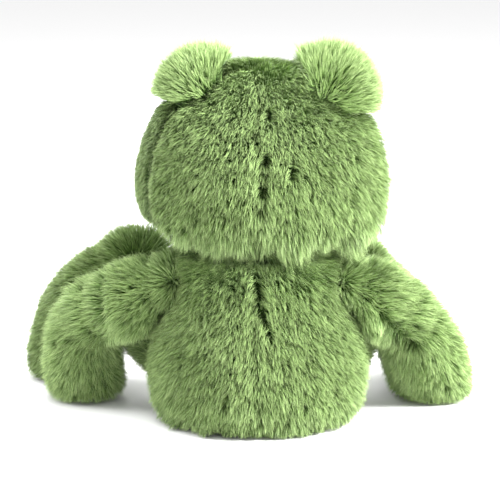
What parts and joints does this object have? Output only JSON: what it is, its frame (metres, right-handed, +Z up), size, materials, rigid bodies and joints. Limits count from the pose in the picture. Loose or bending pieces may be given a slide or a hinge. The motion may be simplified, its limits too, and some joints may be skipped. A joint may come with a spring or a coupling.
{
  "type": "plush frog",
  "caption": "Seated plush frog in long green pile, with eye domes on a turning and nodding head, posable arms and legs, and a flat seat to sit on.",
  "frame": {"origin": "on the floor under the middle of the seat", "axes": "+Z up, -Y the way the frog faces, +X the frog's own left"},
  "size_m": [0.277, 0.1634, 0.2241],
  "materials": {
    "plush": "long-pile plush, soft sheen",
    "short_plush": "short-pile plush",
    "fibrefill": "loose polyester fibre",
    "pellet_bag_cloth": "woven cloth",
    "eye_plastic": "polished",
    "washer_plastic": "moulded",
    "thread": "embroidery floss"
  },
  "bodies": {
    "torso": {"body_back_left_panel": "plush", "body_back_right_panel": "plush", "belly_panel": "plush", "seat_panel": "plush", "body_stuffing": "fibrefill", "seat_pellet_bag": "pellet_bag_cloth"},
    "neck": {"neck_stuffing": "fibrefill"},
    "head": {"face_panel": "short_plush", "head_back_left_panel": "plush", "head_back_right_panel": "plush", "head_stuffing": "fibrefill", "left_eye": "eye_plastic", "left_eye_dome": "plush", "left_eye_dome_stuffing": "fibrefill", "left_eye_washer": "washer_plastic", "left_nostril_stitch": "thread", "mouth_stitching": "thread", "right_eye": "eye_plastic", "right_eye_dome": "plush", "right_eye_dome_stuffing": "fibrefill", "right_eye_washer": "washer_plastic", "right_nostril_stitch": "thread"},
    "left_upper_arm": {"left_upper_arm": "plush", "left_upper_arm_stuffing": "fibrefill"},
    "left_forearm": {"left_forearm": "plush", "left_forearm_stuffing": "fibrefill"},
    "left_thigh": {"left_thigh": "plush", "left_thigh_stuffing": "fibrefill"},
    "left_shin": {"left_shin": "plush", "left_shin_stuffing": "fibrefill"},
    "right_upper_arm": {"right_upper_arm": "plush", "right_upper_arm_stuffing": "fibrefill"},
    "right_forearm": {"right_forearm": "plush", "right_forearm_stuffing": "fibrefill"},
    "right_thigh": {"right_thigh": "plush", "right_thigh_stuffing": "fibrefill"},
    "right_shin": {"right_shin": "plush", "right_shin_stuffing": "fibrefill"}
  },
  "joints": [
    {"name": "neck_turn", "type": "hinge", "parent": "torso", "child": "neck", "pos_m": [0, 0.004, 0.11125], "axis": [0, 0, 1], "range_deg": [-20, 20]},
    {"name": "head_nod", "type": "hinge", "parent": "neck", "child": "head", "pos_m": [0, 0.004, 0.11125], "axis": [1, 0, 0], "range_deg": [-8, 8]},
    {"name": "left_shoulder_raise", "type": "hinge", "parent": "torso", "child": "left_upper_arm", "pos_m": [0.0485, 0.004, 0.083], "axis": [0, -1, 0], "range_deg": [0, 45]},
    {"name": "left_elbow_bend", "type": "hinge", "parent": "left_upper_arm", "child": "left_forearm", "pos_m": [0.098, -0.018, 0.061], "axis": [-0.1062, -0.8124, 0.5734], "range_deg": [0, 40]},
    {"name": "left_hip_swing", "type": "hinge", "parent": "torso", "child": "left_thigh", "pos_m": [0.049, -0.029, 0.03], "axis": [0, 0, -1], "range_deg": [0, 20]},
    {"name": "left_knee_bend", "type": "hinge", "parent": "left_thigh", "child": "left_shin", "pos_m": [0.08, -0.066, 0.084], "axis": [-0.3411, -0.8552, -0.3902], "range_deg": [0, 35]},
    {"name": "right_shoulder_raise", "type": "hinge", "parent": "torso", "child": "right_upper_arm", "pos_m": [-0.0485, 0.004, 0.083], "axis": [0, 1, 0], "range_deg": [0, 45]},
    {"name": "right_elbow_bend", "type": "hinge", "parent": "right_upper_arm", "child": "right_forearm", "pos_m": [-0.085, -0.008, 0.064], "axis": [0.1476, 0.6833, -0.7151], "range_deg": [0, 40]},
    {"name": "right_hip_swing", "type": "hinge", "parent": "torso", "child": "right_thigh", "pos_m": [-0.049, -0.029, 0.03], "axis": [0, 0, 1], "range_deg": [0, 20]},
    {"name": "right_knee_bend", "type": "hinge", "parent": "right_thigh", "child": "right_shin", "pos_m": [-0.063, -0.066, 0.079], "axis": [-0.5194, 0.7467, 0.4154], "range_deg": [0, 35]}
  ]
}
